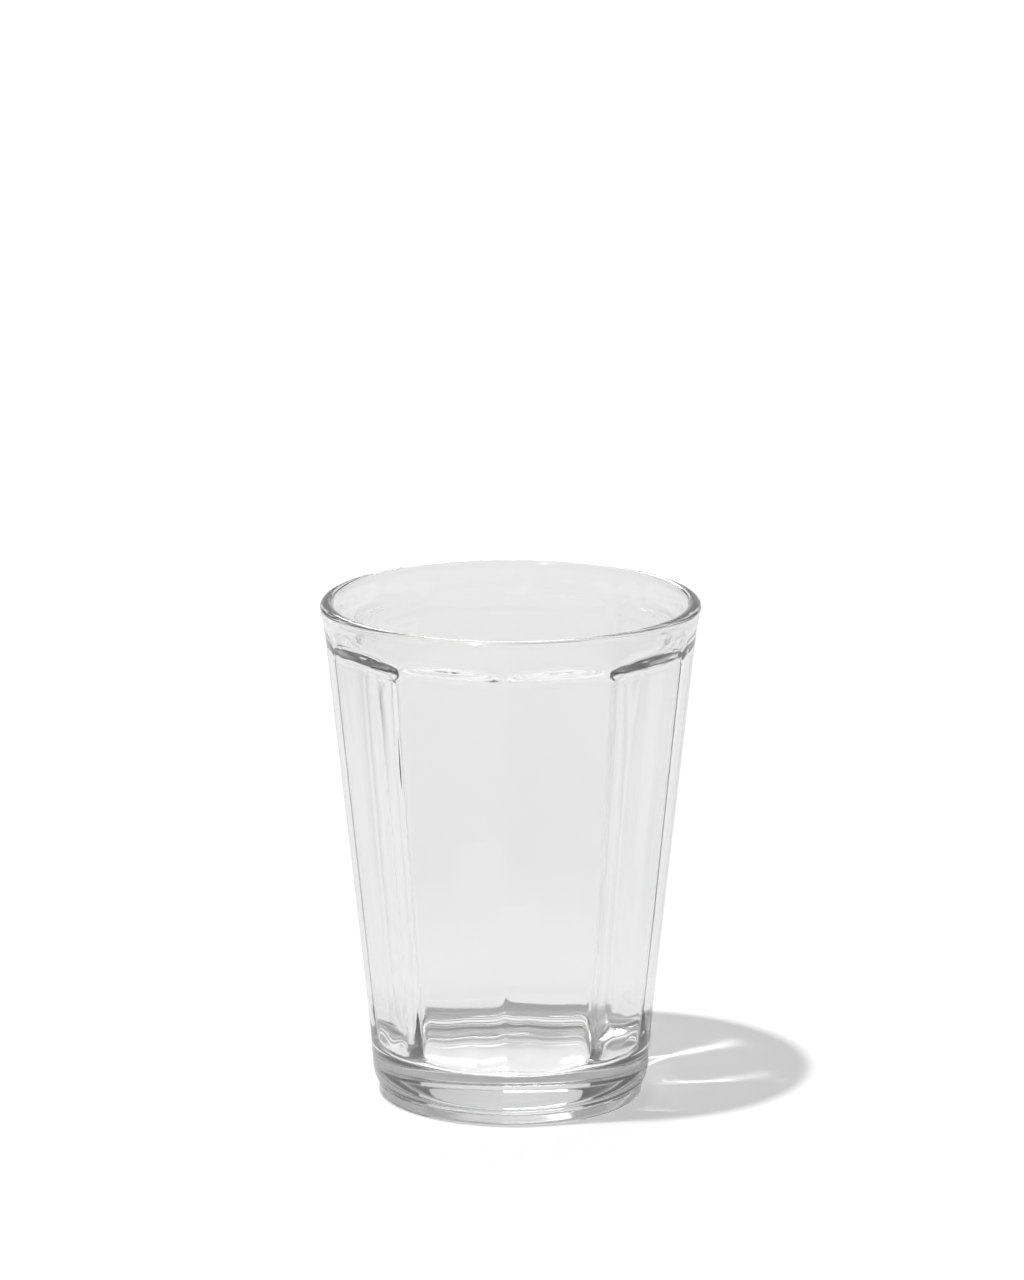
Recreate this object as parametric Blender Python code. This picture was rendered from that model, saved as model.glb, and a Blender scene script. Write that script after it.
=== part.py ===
"""Pressed water glass: one thick-based tumbler, smooth and round outside, with ten flats inside.

The glass is shaped as the press shapes it. A turned blank gives the outside, as the mould does. A turned
plunger with ten milled flats gives the inside, and the glass is the blank less the plunger. Metres, +Z up,
with the origin on the table at the middle of the foot and a corner between two flats facing -Y.
"""

import math

import bmesh
import bpy
from mathutils import Matrix

# Outside of the glass
HEIGHT = 0.100
RIM_DIAMETER = 0.075
RIM_ROUND = 0.0013
LIP_FLARE = 0.0004
LIP_LENGTH = 0.006
WAIST_DIAMETER = 0.0569
WAIST_HEIGHT = 0.018
HEEL_INSET = 0.0009
HEEL_HEIGHT = 0.007

# Foot and underside
FOOT_INSET = 0.00125
FOOT_HEIGHT = 0.0024
FOOT_EDGE = 0.0006
CREASE_DEPTH = 0.0003
BEARING_WIDTH = 0.001
HOLLOW_DEPTH = 0.0015

# Inside of the glass
RIM_WALL = 0.0027
WAIST_WALL = 0.00162
BASE_THICKNESS = 0.0095
FLOOR_ROUND = 0.006

# Flats on the inside
PANELS = 10
CORNER_DROP = 0.0008
PLAIN_BAND = 0.0102
SHOULDER_RADIUS = 0.0038

# How finely the round forms are divided
COLUMNS_A_PANEL = 8
ARC_STEP = math.radians(15)
LIP_STEPS = 5
HOLLOW_STEPS = 6
SHADE_ANGLE = math.radians(16)

# How the shaping tools clear the glass: how far they run past it, and the slope at which they cross the rim
OVERRUN = 0.005
RIM_ENTRY = math.radians(75)

COLUMNS = COLUMNS_A_PANEL * PANELS


def arc(middle, radii, start, end):
    """Points along an arc of an ellipse in the (radius, height) plane, ends included."""
    steps = max(2, math.ceil(abs(end - start) / ARC_STEP))
    points = []
    for step in range(steps + 1):
        angle = start + (end - start) * step / steps
        points.append((middle[0] + radii[0] * math.cos(angle), middle[1] + radii[1] * math.sin(angle)))
    return points


def turned(name, profile):
    """A solid of revolution about Z. The profile runs from the axis at the top to the axis at the bottom."""
    mesh = bpy.data.meshes.new(name)
    points = [(radius, 0, height) for radius, height in profile]
    mesh.from_pydata(points, [(i, i + 1) for i in range(len(points) - 1)], [])
    piece = bpy.data.objects.new(name, mesh)
    bpy.context.scene.collection.objects.link(piece)
    screw = piece.modifiers.new("turn", "SCREW")
    screw.axis = "Z"
    screw.angle = math.tau
    screw.steps = COLUMNS
    screw.render_steps = COLUMNS
    screw.use_merge_vertices = True
    screw.merge_threshold = 0.00001
    return piece


def inner_radius(height):
    """Radius of the round inside wall, a straight taper from the rim through the waist to the floor."""
    top = RIM_DIAMETER / 2 - RIM_WALL
    low = WAIST_DIAMETER / 2 - WAIST_WALL
    return low + (top - low) * (height - WAIST_HEIGHT) / (HEIGHT - WAIST_HEIGHT)


def cut(piece, cutters):
    """Takes an object, or every object of a collection, away from a piece."""
    boolean = piece.modifiers.new("cut", "BOOLEAN")
    boolean.operation = "DIFFERENCE"
    boolean.solver = "EXACT"
    if isinstance(cutters, bpy.types.Collection):
        boolean.operand_type = "COLLECTION"
        boolean.collection = cutters
    else:
        boolean.object = cutters


def hide_tool(piece):
    piece.hide_render = True
    piece.display_type = "WIRE"


for old in list(bpy.data.objects):
    bpy.data.objects.remove(old, do_unlink=True)

# The rim is fire-polished round on both sides, as far as its wall allows.
rim_round = min(RIM_ROUND, 0.48 * RIM_WALL)

# Outside of the lip: the straight taper, turned out a little up to the widest point of the rim.
lip_top = HEIGHT - rim_round
taper_top = RIM_DIAMETER / 2 - LIP_FLARE
taper = (taper_top - WAIST_DIAMETER / 2) / (lip_top - WAIST_HEIGHT)
lip = []
for step in range(1, LIP_STEPS + 1):
    drop = LIP_LENGTH * step / LIP_STEPS
    turned_out = LIP_FLARE * (1 - step / LIP_STEPS) ** 2
    lip.append((taper_top - taper * drop + turned_out, lip_top - drop))

# Heel, crease and foot: the body rounds in under itself and stands on a low, slightly wider foot.
heel = WAIST_DIAMETER / 2 - HEEL_INSET
foot = heel - FOOT_INSET
crease = foot - CREASE_DEPTH
heel_round = arc((crease, HEEL_HEIGHT), (heel - crease, HEEL_HEIGHT - FOOT_HEIGHT), 0, -math.pi / 2)
foot_edge = min(FOOT_EDGE, 0.45 * FOOT_HEIGHT)
foot_top = [(foot, FOOT_HEIGHT - CREASE_DEPTH)]
foot_round = arc((foot - foot_edge, foot_edge), (foot_edge, foot_edge), 0, -math.pi / 2)

# Underside: a narrow bearing ring round a shallow hollow.
hollow = foot - foot_edge - BEARING_WIDTH
underside = []
for step in range(HOLLOW_STEPS + 1):
    share = 1 - step / HOLLOW_STEPS
    underside.append((hollow * share, HOLLOW_DEPTH * (1 - share**2)))

rim_middle = (RIM_DIAMETER / 2 - rim_round, lip_top)
blank = [(0, HEIGHT)]
blank += arc(rim_middle, (rim_round, rim_round), math.pi / 2, 0)
blank += lip
blank += [(WAIST_DIAMETER / 2, WAIST_HEIGHT)]
blank += heel_round
blank += foot_top
blank += foot_round
blank += underside
tumbler = turned("tumbler", blank)

# Plunger: it opens out at the rim to round the inner edge, and its nose is rounded where wall meets floor.
inner_rim = inner_radius(lip_top)
entry_middle = (inner_rim + rim_round, HEIGHT - rim_round * math.sin(RIM_ENTRY))
entry = arc(entry_middle, (rim_round, rim_round), math.pi - RIM_ENTRY, math.pi)
past_rim = (entry[0][0] + OVERRUN * math.sin(RIM_ENTRY), HEIGHT + OVERRUN * math.cos(RIM_ENTRY))
lean = math.atan((inner_radius(HEIGHT) - inner_radius(WAIST_HEIGHT)) / (HEIGHT - WAIST_HEIGHT))
floor_radius = inner_radius(BASE_THICKNESS)
floor_round = min(FLOOR_ROUND, 0.9 * floor_radius)
nose_middle = (
    floor_radius + floor_round * (math.tan(lean) - 1 / math.cos(lean)),
    BASE_THICKNESS + floor_round,
)
plunger_profile = [(0, HEIGHT + OVERRUN), (past_rim[0], HEIGHT + OVERRUN), past_rim]
plunger_profile += entry
plunger_profile += arc(nose_middle, (floor_round, floor_round), -lean, -math.pi / 2)
plunger_profile += [(0, BASE_THICKNESS)]
plunger = turned("plunger", plunger_profile)
hide_tool(plunger)

# Milling blocks: each leaves one flat on the plunger and runs out of it at the top along a round shoulder.
# Two flats meet in a corner that runs down just inside the round wall, so the flats lean in with the wall.
shoulder = HEIGHT - PLAIN_BAND
flat_top = (inner_radius(shoulder) - CORNER_DROP) * math.cos(math.pi / PANELS)
flat_low = (inner_radius(0) - CORNER_DROP) * math.cos(math.pi / PANELS)
run_out_middle = (flat_top + SHOULDER_RADIUS, shoulder)
run_out = arc(run_out_middle, (SHOULDER_RADIUS, SHOULDER_RADIUS), math.pi, math.pi / 2)
clear = RIM_DIAMETER / 2 + OVERRUN
section = [(flat_low, 0)]
section += run_out
section += [(clear, shoulder + SHOULDER_RADIUS), (clear, 0)]
half_width = clear * math.sin(math.pi / PANELS)

block = bpy.data.meshes.new("milling_block")
shape = bmesh.new()
corners = [shape.verts.new((radius, -half_width, height)) for radius, height in section]
side = shape.faces.new(corners)
swept = bmesh.ops.extrude_face_region(shape, geom=[side])
moved = [item for item in swept["geom"] if isinstance(item, bmesh.types.BMVert)]
bmesh.ops.translate(shape, verts=moved, vec=(0, 2 * half_width, 0))
bmesh.ops.recalc_face_normals(shape, faces=shape.faces[:])
shape.to_mesh(block)
shape.free()

mills = bpy.data.collections.new("mills")
bpy.context.scene.collection.children.link(mills)
for panel in range(PANELS):
    mill = bpy.data.objects.new(f"mill_{panel + 1}", block)
    azimuth = -math.pi / 2 + math.tau * (panel + 0.5) / PANELS
    mill.matrix_world = Matrix.Rotation(azimuth, 4, "Z")
    mills.objects.link(mill)
    hide_tool(mill)

cut(plunger, mills)
cut(tumbler, plunger)

# The pressed shape, kept as a mesh of its own so that its edges can be shaded round or crisp.
bpy.context.view_layer.update()
graph = bpy.context.evaluated_depsgraph_get()
pressed = bpy.data.meshes.new_from_object(tumbler.evaluated_get(graph))
tumbler.modifiers.clear()
tumbler.data = pressed
pressed.name = "tumbler"
pressed.shade_smooth()
pressed.set_sharp_from_angle(angle=SHADE_ANGLE)

# Clear soda-lime glass
glass = bpy.data.materials.new("clear_glass")
glass.use_nodes = True
shader = glass.node_tree.nodes["Principled BSDF"]
shader.inputs["Base Color"].default_value = (0.96, 0.97, 0.97, 1)
shader.inputs["Roughness"].default_value = 0.02
shader.inputs["Metallic"].default_value = 0.0
shader.inputs["IOR"].default_value = 1.52
shader.inputs["Transmission Weight"].default_value = 1.0
pressed.materials.clear()
pressed.materials.append(glass)
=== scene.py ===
# %% [markdown]
# # A pressed water glass
# A thick-based tumbler stands on a white table. Outside it is smooth and round. Inside, ten flats run down
# the wall from a plain band below the rim, because the plunger that pressed it had ten milled faces.
# The solid model comes first, as the frame that everything here has to fit.

# %% Load the frame
import math

import bmesh
import bpy
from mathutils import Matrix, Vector, noise


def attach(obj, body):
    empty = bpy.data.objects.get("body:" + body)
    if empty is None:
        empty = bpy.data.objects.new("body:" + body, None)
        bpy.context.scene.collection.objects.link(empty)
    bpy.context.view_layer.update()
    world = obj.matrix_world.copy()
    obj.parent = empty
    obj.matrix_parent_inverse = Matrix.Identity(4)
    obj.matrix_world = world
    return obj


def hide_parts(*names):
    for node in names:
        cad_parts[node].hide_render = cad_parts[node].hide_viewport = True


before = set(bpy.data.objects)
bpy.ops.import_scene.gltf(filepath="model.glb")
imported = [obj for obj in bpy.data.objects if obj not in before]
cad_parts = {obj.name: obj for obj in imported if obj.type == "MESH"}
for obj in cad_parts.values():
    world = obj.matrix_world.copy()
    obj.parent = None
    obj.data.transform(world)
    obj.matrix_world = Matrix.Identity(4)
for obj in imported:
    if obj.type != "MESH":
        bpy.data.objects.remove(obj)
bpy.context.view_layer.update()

# %% [markdown]
# ## The camera
# The photo was taken from a little above the rim, from far enough away that the glass hardly narrows with
# distance. The corner between two flats stands a little left of the middle, so the camera walks 2.5 degrees
# round the glass.
# The lens and the aim are worked out from where the glass sits in a picture of 1024 by 1280 pixels.

# %% Place the camera
PICTURE = (1024, 1280)
WALK_ROUND = math.radians(2.5)
LOOK_DOWN = math.radians(15.0)
DISTANCE = 1.300
SENSOR_HEIGHT = 36
NEAREST = 0.05
PIXELS_A_METRE = 5045
AIM_PIXEL = (510.6, 845.4)
aim = Vector((0, 0, 0.05))


def round_the_glass(turn, climb, distance):
    """A point at this bearing, elevation and distance from the aim. Bearing 0 is on the -Y side."""
    flat = math.cos(climb)
    return aim + distance * Vector((math.sin(turn) * flat, -math.cos(turn) * flat, math.sin(climb)))


focal_pixels = PIXELS_A_METRE * DISTANCE
tip = LOOK_DOWN - math.atan((AIM_PIXEL[1] - PICTURE[1] / 2) / focal_pixels)
swing = math.atan((AIM_PIXEL[0] - PICTURE[0] / 2) / focal_pixels)
camera = bpy.data.objects.new("camera", bpy.data.cameras.new("camera"))
camera.data.sensor_fit = "VERTICAL"
camera.data.sensor_height = SENSOR_HEIGHT
camera.data.lens = SENSOR_HEIGHT * focal_pixels / PICTURE[1]
camera.data.clip_start = NEAREST
camera.location = round_the_glass(WALK_ROUND, LOOK_DOWN, DISTANCE)
camera.rotation_euler = (math.pi / 2 - tip, 0, WALK_ROUND + swing)
bpy.context.scene.collection.objects.link(camera)
bpy.context.scene.camera = camera
camera_at = [round(value, 3) for value in camera.location]
print("camera at", camera_at, "with a lens of", round(camera.data.lens, 1), "mm")

# %% [markdown]
# ## The shape of the glass
# A glass is drawn as half a section and turned on the axis, as on a lathe. The section runs from the middle
# of the underside, out along the foot, up the outside, over the rim, down the inside and back to the axis
# at the floor. The sizes are the solid model's, in millimetres here. The curves get many more points than
# the solid has, because glass shows each facet twice: once in its gloss and once in what it bends.
# Three small marks of hot glass are added: eased corners, drooping panel tops and faint ripples.

# %% Sizes of the glass, in millimetres
HEIGHT = 100
RIM_DIAMETER = 75
RIM_ROUND = 1.3
RIM_WALL = 2.7
LIP_FLARE = 0.4
LIP_LENGTH = 6
WAIST_DIAMETER = 56.9
WAIST_HEIGHT = 18
HEEL_DIAMETER = 55.1
HEEL_HEIGHT = 7
FOOT_DIAMETER = 52.6
FOOT_HEIGHT = 2.4
FOOT_EDGE = 0.6
FOOT_TOP = 0.3
FOOT_TOP_TURN = 70
FOOT_TOP_GAP = 0.05
CREASE_DEPTH = 0.3
BEARING_WIDTH = 1
HOLLOW_DEPTH = 1.5
BASE_THICKNESS = 9.5
FLOOR_DIAMETER = 52
FLOOR_ROUND = 6
PANELS = 10
CORNER_DROP = 0.8
CORNER_EASE = 1.7
PLAIN_BAND = 10.2
SHOULDER_RADIUS = 3.8
TOP_FALL = 0.45
TOP_SPAN = 3
RIPPLE_HEIGHT = 0.12
RIPPLE_LENGTH = 4
MM = 0.001


def inside_radius(height):
    """Radius of the round inside wall at a height, before the flats."""
    top = RIM_DIAMETER / 2 - RIM_WALL
    low = FLOOR_DIAMETER / 2
    return low + (top - low) * (height - BASE_THICKNESS) / (HEIGHT - BASE_THICKNESS)


def arc(middle, radii, start, end, steps):
    """Points along an arc of an ellipse, angles in degrees, ends included."""
    points = []
    for step in range(steps + 1):
        angle = math.radians(start + (end - start) * step / steps)
        points.append((middle[0] + radii[0] * math.cos(angle), middle[1] + radii[1] * math.sin(angle)))
    return points


def straight(start, end, steps):
    """Points along a straight stretch, without its two ends."""
    points = []
    for step in range(1, steps):
        share = step / steps
        points.append((start[0] + (end[0] - start[0]) * share, start[1] + (end[1] - start[1]) * share))
    return points


# %% Draw the section
HOLLOW_STEPS = 12
FOOT_EDGE_STEPS = 6
FOOT_TOP_STEPS = 4
HEEL_STEPS = 14
LIP_STEPS = 8
RIM_STEPS = 20
SHOULDER_STEPS = 48
FLOOR_STEPS = 40
STRAIGHT_STEPS = 4
ABOVE_SHOULDER = 0.2
BELOW_SHOULDER = 0.3
foot = FOOT_DIAMETER / 2
crease = foot - CREASE_DEPTH
hollow = foot - FOOT_EDGE - BEARING_WIDTH
section = []
for step in range(HOLLOW_STEPS):
    radius = hollow * step / HOLLOW_STEPS
    section.append((radius, HOLLOW_DEPTH * (1 - (radius / hollow) ** 2)))
section.append((hollow, 0))
section += arc((foot - FOOT_EDGE, FOOT_EDGE), (FOOT_EDGE, FOOT_EDGE), -90, 0, FOOT_EDGE_STEPS)
foot_top = (foot - FOOT_TOP, FOOT_HEIGHT - FOOT_TOP - FOOT_TOP_GAP)
section += arc(foot_top, (FOOT_TOP, FOOT_TOP), 0, FOOT_TOP_TURN, FOOT_TOP_STEPS)
heel_radii = (HEEL_DIAMETER / 2 - crease, HEEL_HEIGHT - FOOT_HEIGHT)
section += arc((crease, HEEL_HEIGHT), heel_radii, -90, 0, HEEL_STEPS)
heel = section[-1]
waist = (WAIST_DIAMETER / 2, WAIST_HEIGHT)
section += straight(heel, waist, STRAIGHT_STEPS)
section.append(waist)
lip_top = HEIGHT - RIM_ROUND
taper_top = RIM_DIAMETER / 2 - LIP_FLARE
taper = (taper_top - waist[0]) / (lip_top - WAIST_HEIGHT)
lip_start = (taper_top - taper * LIP_LENGTH, lip_top - LIP_LENGTH)
section += straight(waist, lip_start, STRAIGHT_STEPS)
for step in range(LIP_STEPS):
    share = step / LIP_STEPS
    drop = LIP_LENGTH * (1 - share)
    section.append((taper_top - taper * drop + LIP_FLARE * share**2, lip_top - drop))
rim_inside = inside_radius(lip_top)
rim_half = (RIM_DIAMETER / 2 - rim_inside) / 2
section += arc((rim_inside + rim_half, lip_top), (rim_half, RIM_ROUND), 0, 180, RIM_STEPS)
shoulder = HEIGHT - PLAIN_BAND
band_low = shoulder + SHOULDER_RADIUS - ABOVE_SHOULDER
band_end = (inside_radius(band_low), band_low)
flat_start = shoulder - TOP_FALL - BELOW_SHOULDER
flat_end = (inside_radius(flat_start), flat_start)
section += straight((rim_inside, lip_top), band_end, STRAIGHT_STEPS)
section.append(band_end)
section += straight(band_end, flat_end, SHOULDER_STEPS)
lean = math.atan(inside_radius(1) - inside_radius(0))
nose_radius = FLOOR_DIAMETER / 2 + FLOOR_ROUND * (math.tan(lean) - 1 / math.cos(lean))
nose = (nose_radius, BASE_THICKNESS + FLOOR_ROUND)
nose_arc = arc(nose, (FLOOR_ROUND, FLOOR_ROUND), -math.degrees(lean), -90, FLOOR_STEPS)
section += straight(flat_end, nose_arc[0], 2 * STRAIGHT_STEPS)
section += nose_arc
section += straight(nose_arc[-1], (0, BASE_THICKNESS), 2 * STRAIGHT_STEPS)
section.append((0, BASE_THICKNESS))
print("section of", len(section), "points")

# %% [markdown]
# ## Turning it and pressing the flats
# The glass repeats ten times round its axis, so one tenth of it is made, from corner to corner. The
# section is spun through that angle, which gives a plain round wall. The flat comes next. It isn't cut out
# with a block: the plunger left it, so each point of the inside wall is pressed in to the flat, as far as
# the run-out shoulder at its top. Hot glass never fills a sharp corner, so the corner between two flats is
# eased over a narrow strip, the edge of the shoulder is softened, and the top of each flat droops a little
# towards its corners. The columns of the mesh are drawn together at the corners first, so that these
# narrow strips get points enough.

# %% Spin one tenth of the section
COLUMNS = 48
MERGE_WITHIN = 0.000001
tenth = math.tau / PANELS
shape = bmesh.new()
corners = [shape.verts.new((0, -radius * MM, height * MM)) for radius, height in section]
edges = [shape.edges.new(pair) for pair in zip(corners, corners[1:])]
bmesh.ops.spin(
    shape,
    geom=corners + edges,
    axis=(0, 0, 1),
    cent=(0, 0, 0),
    angle=tenth,
    steps=COLUMNS,
)
bmesh.ops.remove_doubles(shape, verts=shape.verts[:], dist=MERGE_WITHIN)
print("one tenth with", len(shape.faces), "faces")

# %% Press its flat
GATHER = 0.75
SOFT_SHOULDER = 1
ON_AXIS = 0.01
WALL_MARGIN = 0.02
MOVED = 0.001


def flat_distance(height, off_middle):
    """Distance of a flat from the axis at a height, or None above its shoulder."""
    reach = inside_radius(height) * (math.sin(tenth / 2) - math.sin(abs(off_middle)))
    fall = TOP_FALL * max(1 - max(reach, 0) / TOP_SPAN, 0) ** 2
    rise = height - shoulder + fall
    if rise >= SHOULDER_RADIUS:
        return None
    distance = (inside_radius(min(height, shoulder - fall)) - CORNER_DROP) * math.cos(tenth / 2)
    if rise > 0:
        distance += SHOULDER_RADIUS - math.sqrt(SHOULDER_RADIUS**2 - rise**2)
    return distance


def flat_radius(distance, off_middle):
    """Radius of a flat at an angle from its middle, with the corner to the next flat eased."""
    radius = distance / math.cos(off_middle)
    across = radius * math.sin(tenth / 2 - abs(off_middle))
    ease = CORNER_EASE * math.tan(tenth / 2) / 3 * max(1 - across / CORNER_EASE, 0) ** 3
    return radius - ease


def softer_of(one, other, soft):
    """The smaller of two radii, eased over the soft edge where they are nearly equal."""
    share = min(max(0.5 + 0.5 * (other - one) / soft, 0), 1)
    return other + (one - other) * share - soft * share * (1 - share)


pressed = 0
for point in shape.verts:
    radius = math.hypot(point.co.x, point.co.y) / MM
    height = point.co.z / MM
    bearing = math.atan2(point.co.x, -point.co.y)
    bearing -= GATHER / PANELS * math.sin(PANELS * bearing)
    if radius < ON_AXIS:
        continue
    if height > BASE_THICKNESS - ON_AXIS and radius < inside_radius(height) + WALL_MARGIN:
        distance = flat_distance(height, bearing - tenth / 2)
        if distance is not None:
            before = radius
            radius = softer_of(radius, flat_radius(distance, bearing - tenth / 2), SOFT_SHOULDER)
            pressed += radius < before - MOVED
    point.co.x = radius * MM * math.sin(bearing)
    point.co.y = -radius * MM * math.cos(bearing)
print("pressed", pressed, "points in to the flat")

# %% Repeat it round the axis
bmesh.ops.spin(
    shape,
    geom=shape.verts[:] + shape.edges[:] + shape.faces[:],
    axis=(0, 0, 1),
    cent=(0, 0, 0),
    angle=math.tau - tenth,
    steps=PANELS - 1,
    use_duplicate=True,
)
bmesh.ops.remove_doubles(shape, verts=shape.verts[:], dist=MERGE_WITHIN)
print("ten tenths with", len(shape.faces), "faces")

# %% [markdown]
# Pressing leaves faint ripples where the hot glass had to turn a corner: along the shoulder and round the
# floor. They differ from flat to flat, so they come after the ten tenths are joined. A smooth noise moves
# the points of the inside wall in and out by about a tenth of a millimetre.

# %% Ripple the shoulder and the floor
SHOULDER_REACH = 4
SHOULDER_RISE = 1
FLOOR_REACH = 3.5
FLOOR_RISE = 3
FLOOR_SHARE = 1.5
PLAIN_MIDDLE = 1


def nearness(height, level, reach):
    """1 at a level, falling to 0 at this reach above and below it."""
    return max(1 - abs(height - level) / reach, 0)


rippled = 0
for point in shape.verts:
    radius = math.hypot(point.co.x, point.co.y) / MM
    height = point.co.z / MM
    outside = height < BASE_THICKNESS or radius > inside_radius(height) + WALL_MARGIN
    if outside or radius < PLAIN_MIDDLE:
        continue
    strength = nearness(height, shoulder + SHOULDER_RISE, SHOULDER_REACH)
    strength += FLOOR_SHARE * nearness(height, BASE_THICKNESS + FLOOR_RISE, FLOOR_REACH)
    wave = noise.noise(point.co / (RIPPLE_LENGTH * MM))
    push = 1 + wave * RIPPLE_HEIGHT * strength / radius
    point.co.x *= push
    point.co.y *= push
    rippled += strength > 0
print("rippled", rippled, "points")

# %% Close the glass and hang it on the frame
bmesh.ops.recalc_face_normals(shape, faces=shape.faces[:])
for face in shape.faces:
    face.smooth = True
glass_mesh = bpy.data.meshes.new("pressed_tumbler")
shape.to_mesh(glass_mesh)
open_edges = sum(not edge.is_manifold for edge in shape.edges)
shape.free()
tumbler = bpy.data.objects.new("pressed_tumbler", glass_mesh)
bpy.context.scene.collection.objects.link(tumbler)
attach(tumbler, "root")
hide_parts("tumbler")
print("glass of", len(glass_mesh.polygons), "faces,", open_edges, "open edges")

# %% [markdown]
# ## Finishes
# Colours are written as they would be picked on screen, and one function turns them to the linear values
# that shaders use. Another small function adds a node, gives it its settings and links it.

# %% Helpers for materials


def colour(code):
    """A linear colour from an sRGB hex code such as #E6E6E6."""
    parts = [int(code[at : at + 2], 16) / 255 for at in (1, 3, 5)]
    linear = [part / 12.92 if part <= 0.04045 else ((part + 0.055) / 1.055) ** 2.4 for part in parts]
    return (*linear, 1)


def add_node(material, kind, settings=None, links=None):
    """Adds a node to a material. Settings go to its inputs or properties, links join inputs to outputs."""
    node = material.node_tree.nodes.new(kind)
    for name, value in (settings or {}).items():
        if isinstance(name, str) and hasattr(node, name):
            setattr(node, name, value)
        else:
            node.inputs[name].default_value = value
    for name, source in (links or {}).items():
        material.node_tree.links.new(source, node.inputs[name])
    return node


def empty_material(name):
    """A new material that has no nodes yet."""
    material = bpy.data.materials.new(name)
    material.use_nodes = True
    material.node_tree.nodes.clear()
    return material


# %% [markdown]
# ### Clear soda-lime glass
# Pressed glass is clear right through, so its look is all gloss and bending, and its index is 1.52. The
# mould and the plunger leave it a little uneven: the surface swells and dips by a few hundredths of a
# millimetre over a centimetre or two, and that breaks up the lines seen through the thick base. The
# underside has a very fine grain. A polished one would show a sharp picture of the table, and the photo
# has one even, pale lens there.

# %% Make the glass
GLASS_INDEX = 1.52
SWELL_LENGTH = 14
SWELL_DEPTH = 0.04
GRAIN_ROUGHNESS = 0.07
GRAIN_MARGIN = 0.2
clear_glass = empty_material("pressed_soda_lime_glass")
place = add_node(clear_glass, "ShaderNodeTexCoord")
swell = add_node(
    clear_glass,
    "ShaderNodeTexNoise",
    {"Scale": 1 / (SWELL_LENGTH * MM), "Detail": 1.0, "Roughness": 0.4},
    {"Vector": place.outputs["Object"]},
)
uneven = add_node(
    clear_glass,
    "ShaderNodeBump",
    {"Strength": 1.0, "Distance": SWELL_DEPTH * MM},
    {"Height": swell.outputs["Fac"]},
)

# %% Give the underside its grain
along = add_node(clear_glass, "ShaderNodeSeparateXYZ", links={0: place.outputs["Object"]})
flat_place = add_node(
    clear_glass,
    "ShaderNodeVectorMath",
    {"operation": "MULTIPLY", 1: (1, 1, 0)},
    {0: place.outputs["Object"]},
)
off_middle = add_node(
    clear_glass,
    "ShaderNodeVectorMath",
    {"operation": "LENGTH"},
    {0: flat_place.outputs["Vector"]},
)
low = add_node(
    clear_glass,
    "ShaderNodeMath",
    {"operation": "LESS_THAN", 1: (HOLLOW_DEPTH + GRAIN_MARGIN) * MM},
    {0: along.outputs["Z"]},
)
within = add_node(
    clear_glass,
    "ShaderNodeMath",
    {"operation": "LESS_THAN", 1: (foot - FOOT_EDGE / 2) * MM},
    {0: off_middle.outputs["Value"]},
)
underside = add_node(
    clear_glass,
    "ShaderNodeMath",
    {"operation": "MULTIPLY"},
    {0: low.outputs["Value"], 1: within.outputs["Value"]},
)
grain = add_node(
    clear_glass,
    "ShaderNodeMath",
    {"operation": "MULTIPLY", 1: GRAIN_ROUGHNESS},
    {0: underside.outputs["Value"]},
)
glass_shader = add_node(
    clear_glass,
    "ShaderNodeBsdfPrincipled",
    {"Base Color": colour("#FFFFFF"), "IOR": GLASS_INDEX, "Transmission Weight": 1.0},
    {"Normal": uneven.outputs["Normal"], "Roughness": grain.outputs["Value"]},
)
add_node(clear_glass, "ShaderNodeOutputMaterial", links={"Surface": glass_shader.outputs["BSDF"]})
glass_mesh.materials.append(clear_glass)
print("glass of index", round(glass_shader.inputs["IOR"].default_value, 2))

# %% [markdown]
# ## The table and the light
# The photo's table is plain white and so is everything behind it. Matt white paper lies under the glass
# and takes the shadow. It has a little light of its own: more for the camera, so that paper in full light
# comes out white, and less for what is seen in or through the glass, which the photo shows light grey.
# Lamps can hardly reach the paper under the thick base, because the glass bends their light too much to be
# followed. So seen through the glass, that round patch is given a full white, as the photo shows it.

# %% Make the paper
CAMERA_LIGHT = 0.25
OWN_LIGHT = 0.09
PATCH_RADIUS = 27
PATCH_LIGHT = 1.0
paper = empty_material("white_paper")
path = add_node(paper, "ShaderNodeLightPath")
matt = add_node(paper, "ShaderNodeBsdfDiffuse", {"Color": colour("#F4F4F4")})
lift = add_node(
    paper,
    "ShaderNodeMath",
    {"operation": "MULTIPLY_ADD", 1: CAMERA_LIGHT, 2: OWN_LIGHT},
    {0: path.outputs["Is Camera Ray"]},
)
glow = add_node(
    paper,
    "ShaderNodeEmission",
    {"Color": colour("#FFFFFF")},
    {"Strength": lift.outputs["Value"]},
)
lit = add_node(
    paper,
    "ShaderNodeAddShader",
    links={0: matt.outputs["BSDF"], 1: glow.outputs["Emission"]},
)
print("paper lifted by", CAMERA_LIGHT + OWN_LIGHT, "for the camera and", OWN_LIGHT, "through glass")

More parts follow.
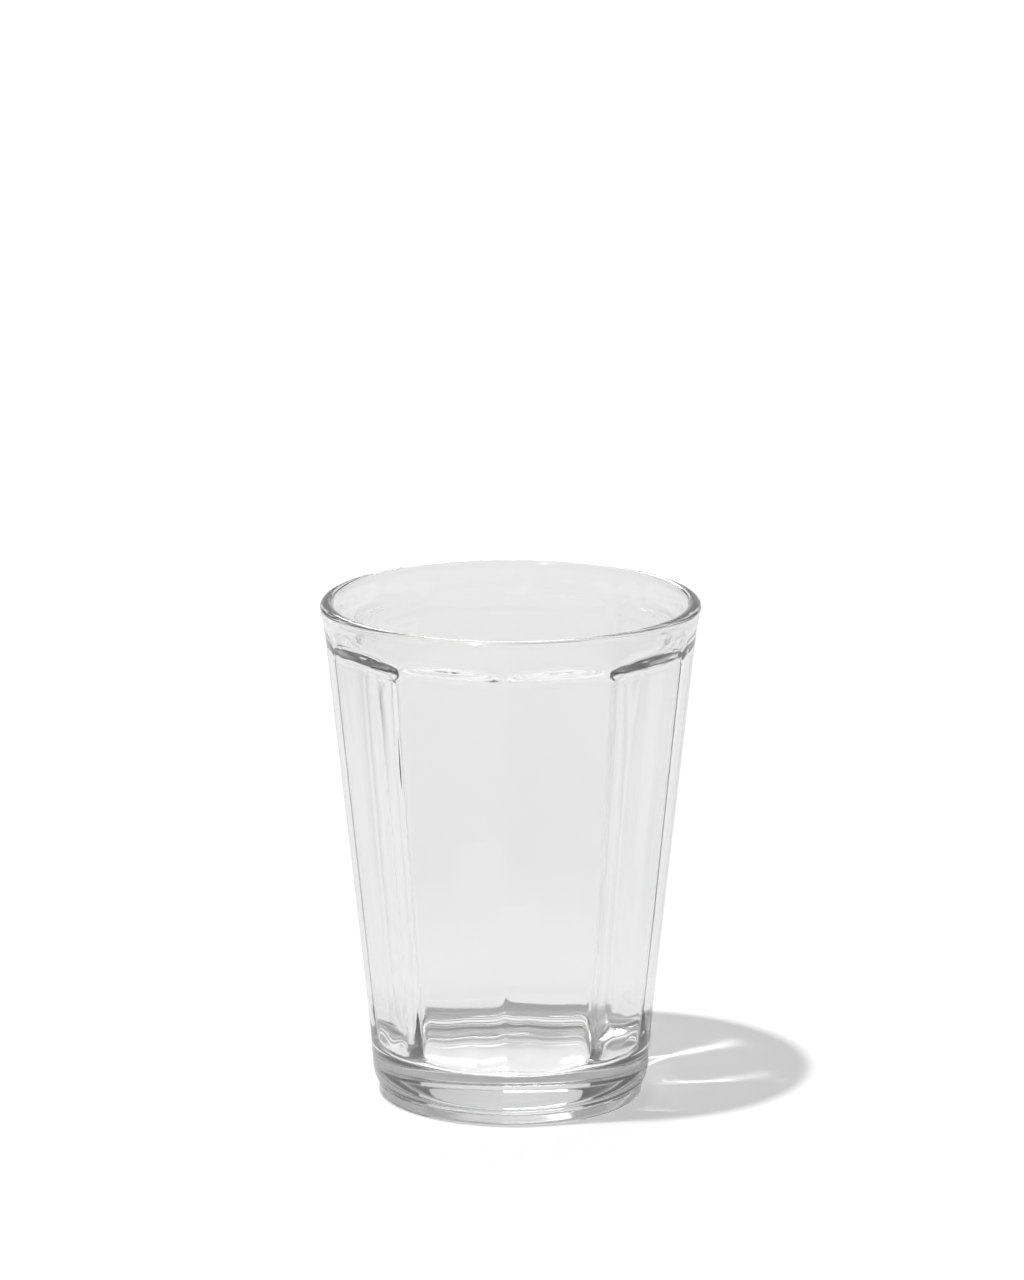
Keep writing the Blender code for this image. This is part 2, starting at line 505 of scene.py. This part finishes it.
# %% Paint light on the patch under the base
# The patch is painted light: seen through the glass, the paper under the base glows white in place of the
# lamps' light that the base would gather.
through_glass = add_node(
    paper,
    "ShaderNodeMath",
    {"operation": "MAXIMUM"},
    {0: path.outputs["Is Glossy Ray"], 1: path.outputs["Is Transmission Ray"]},
)
spot = add_node(paper, "ShaderNodeTexCoord")
off_axis = add_node(
    paper,
    "ShaderNodeVectorMath",
    {"operation": "LENGTH"},
    {0: spot.outputs["Object"]},
)
under_base = add_node(
    paper,
    "ShaderNodeMath",
    {"operation": "LESS_THAN", 1: PATCH_RADIUS * MM},
    {0: off_axis.outputs["Value"]},
)
painted_light_share = add_node(
    paper,
    "ShaderNodeMath",
    {"operation": "MULTIPLY"},
    {0: through_glass.outputs["Value"], 1: under_base.outputs["Value"]},
)
patch = add_node(
    paper,
    "ShaderNodeEmission",
    {"Color": colour("#FFFFFF"), "Strength": PATCH_LIGHT},
)
blend = add_node(
    paper,
    "ShaderNodeMixShader",
    links={
        0: painted_light_share.outputs["Value"],
        1: lit.outputs["Shader"],
        2: patch.outputs["Emission"],
    },
)
print("patch under the base", 2 * PATCH_RADIUS, "mm across")

# %% [markdown]
# Clear glass shows its edges only where something darker is bent into them, so a studio stands grey cards
# on both sides of it, out of the picture. Here the paper itself fades to the grey of the room at the
# sides, in front of the glass and beside it, for every ray but the camera's own.

# %% Fade the paper at the sides
ROOM_LIGHT = 0.12
STRIP_HALF = 0.2
STRIP_FADE = 0.15
STRIP_END = 0.075
END_FADE = 0.1
across = add_node(paper, "ShaderNodeSeparateXYZ", links={0: spot.outputs["Object"]})
sideways = add_node(paper, "ShaderNodeMath", {"operation": "ABSOLUTE"}, {0: across.outputs["X"]})
beside = add_node(
    paper,
    "ShaderNodeMapRange",
    {"interpolation_type": "SMOOTHSTEP", "From Min": STRIP_HALF, "From Max": STRIP_HALF + STRIP_FADE},
    {"Value": sideways.outputs["Value"]},
)
in_front = add_node(
    paper,
    "ShaderNodeMapRange",
    {"interpolation_type": "SMOOTHSTEP", "From Min": STRIP_END + END_FADE, "From Max": STRIP_END},
    {"Value": across.outputs["Y"]},
)
at_side = add_node(
    paper,
    "ShaderNodeMath",
    {"operation": "MULTIPLY"},
    {0: beside.outputs["Result"], 1: in_front.outputs["Result"]},
)
not_camera = add_node(
    paper,
    "ShaderNodeMath",
    {"operation": "SUBTRACT", 0: 1.0},
    {1: path.outputs["Is Camera Ray"]},
)
dimmed = add_node(
    paper,
    "ShaderNodeMath",
    {"operation": "MULTIPLY"},
    {0: at_side.outputs["Value"], 1: not_camera.outputs["Value"]},
)
card = add_node(
    paper,
    "ShaderNodeEmission",
    {"Color": colour("#FFFFFF"), "Strength": ROOM_LIGHT},
)
fade = add_node(
    paper,
    "ShaderNodeMixShader",
    links={0: dimmed.outputs["Value"], 1: blend.outputs["Shader"], 2: card.outputs["Emission"]},
)
add_node(paper, "ShaderNodeOutputMaterial", links={"Surface": fade.outputs["Shader"]})
print("paper bright for", 2 * STRIP_HALF, "m across the glass")

# %% [markdown]
# The paper runs flat behind the glass and then curves up, so that no edge shows behind it. It lies a hair
# below the foot, because two faces in one plane would flicker.

# %% Lay the paper
PAPER_FRONT = -0.6
PAPER_BACK = 1.6
PAPER_TOP = 2.6
PAPER_GAP = 0.00005
PAPER_HALF = 1.0
CURVE_RADIUS = 0.5
CURVE_STEP = 10
sweep = [(PAPER_FRONT, -PAPER_GAP), (PAPER_BACK, -PAPER_GAP)]
for degrees in range(CURVE_STEP, 90 + CURVE_STEP, CURVE_STEP):
    turn = math.radians(degrees)
    depth = PAPER_BACK + CURVE_RADIUS * math.sin(turn)
    sweep.append((depth, CURVE_RADIUS - CURVE_RADIUS * math.cos(turn)))
sweep.append((PAPER_BACK + CURVE_RADIUS, PAPER_TOP))
ground = bmesh.new()
near = [ground.verts.new((-PAPER_HALF, depth, height)) for depth, height in sweep]
lines = [ground.edges.new(pair) for pair in zip(near, near[1:])]
drawn = bmesh.ops.extrude_edge_only(ground, edges=lines)
far = [item for item in drawn["geom"] if isinstance(item, bmesh.types.BMVert)]
bmesh.ops.translate(ground, verts=far, vec=(2 * PAPER_HALF, 0, 0))
bmesh.ops.recalc_face_normals(ground, faces=ground.faces[:])
for face in ground.faces:
    face.smooth = True
floor_mesh = bpy.data.meshes.new("table")
ground.to_mesh(floor_mesh)
ground.free()
floor_mesh.materials.append(paper)
table = bpy.data.objects.new("table", floor_mesh)
bpy.context.scene.collection.objects.link(table)
print("paper", round(table.dimensions.x, 1), "m wide,", round(table.dimensions.z, 1), "m high at the back")

# %% [markdown]
# A wide soft box hangs over the table behind the glass and lights everything evenly. A small lamp high at
# the front left throws the one clear shadow, to the right and a little back. A narrow lamp behind the
# glass, a little to the left, is bent by the thick base into white streaks. The streaks in the shadow are
# the small lamp's light, gathered by the wall of the glass: Blender follows it where lamp, glass and
# table are all marked for it. The room is grey, and shows in the rim's dark ends and the sides of the
# base. To the camera it is white, so that the background stays plain from all sides. Light turns many
# times inside thick glass, so it may bounce more often than usual.

# %% Hang the lights
SOFT_BOX_SIZE = (1.8, 3.2)
SOFT_BOX_WATTS = 4
SOFT_BOX_PLACE = Vector((0, 0.9, 1.7))
BELOW_SOFT_BOX = Vector((0, 0.9, 0))
KEY_SIZE = (0.144, 0.144)
KEY_WATTS = 90
KEY_PLACE = Vector((-0.82, -0.65, 3.90))
BACK_LAMP_SIZE = (0.6, 0.2)
BACK_LAMP_WATTS = 3.6
BACK_LAMP_PLACE = Vector((-0.3, 1.58, 0.85))


def hang_light(name, where, look_at, size, power):
    """A flat lamp of this width and length at a point, turned to another point."""
    data = bpy.data.lights.new(name, "AREA")
    data.shape = "RECTANGLE"
    data.size, data.size_y = size
    data.energy = power
    lamp = bpy.data.objects.new(name, data)
    lamp.location = where
    lamp.rotation_euler = (look_at - where).to_track_quat("-Z", "Y").to_euler()
    bpy.context.scene.collection.objects.link(lamp)
    return lamp


soft_box = hang_light("soft_box", SOFT_BOX_PLACE, BELOW_SOFT_BOX, SOFT_BOX_SIZE, SOFT_BOX_WATTS)
key = hang_light("key", KEY_PLACE, aim, KEY_SIZE, KEY_WATTS)
back_lamp = hang_light("back_lamp", BACK_LAMP_PLACE, aim, BACK_LAMP_SIZE, BACK_LAMP_WATTS)
tumbler.cycles.is_caustics_caster = True
table.cycles.is_caustics_receiver = True
key.data.cycles.is_caustics_light = True
print("lights", [(lamp.name, lamp.data.energy) for lamp in (soft_box, key, back_lamp)])

# %% Make the room and the view
ALL_BOUNCES = 32
CLEAR_BOUNCES = 24
room = bpy.data.worlds.new("grey_room")
room.use_nodes = True
bpy.context.scene.world = room
around = room.node_tree.nodes["Background"]
around.inputs["Color"].default_value = colour("#FFFFFF")
sight = add_node(room, "ShaderNodeLightPath")
seen = add_node(
    room,
    "ShaderNodeMath",
    {"operation": "MULTIPLY_ADD", 1: 1 - ROOM_LIGHT, 2: ROOM_LIGHT},
    {0: sight.outputs["Is Camera Ray"]},
)
room.node_tree.links.new(seen.outputs["Value"], around.inputs["Strength"])
bpy.context.scene.view_settings.view_transform = "Standard"
bpy.context.scene.cycles.max_bounces = ALL_BOUNCES
bpy.context.scene.cycles.glossy_bounces = CLEAR_BOUNCES
bpy.context.scene.cycles.transmission_bounces = CLEAR_BOUNCES
print("room light", ROOM_LIGHT)
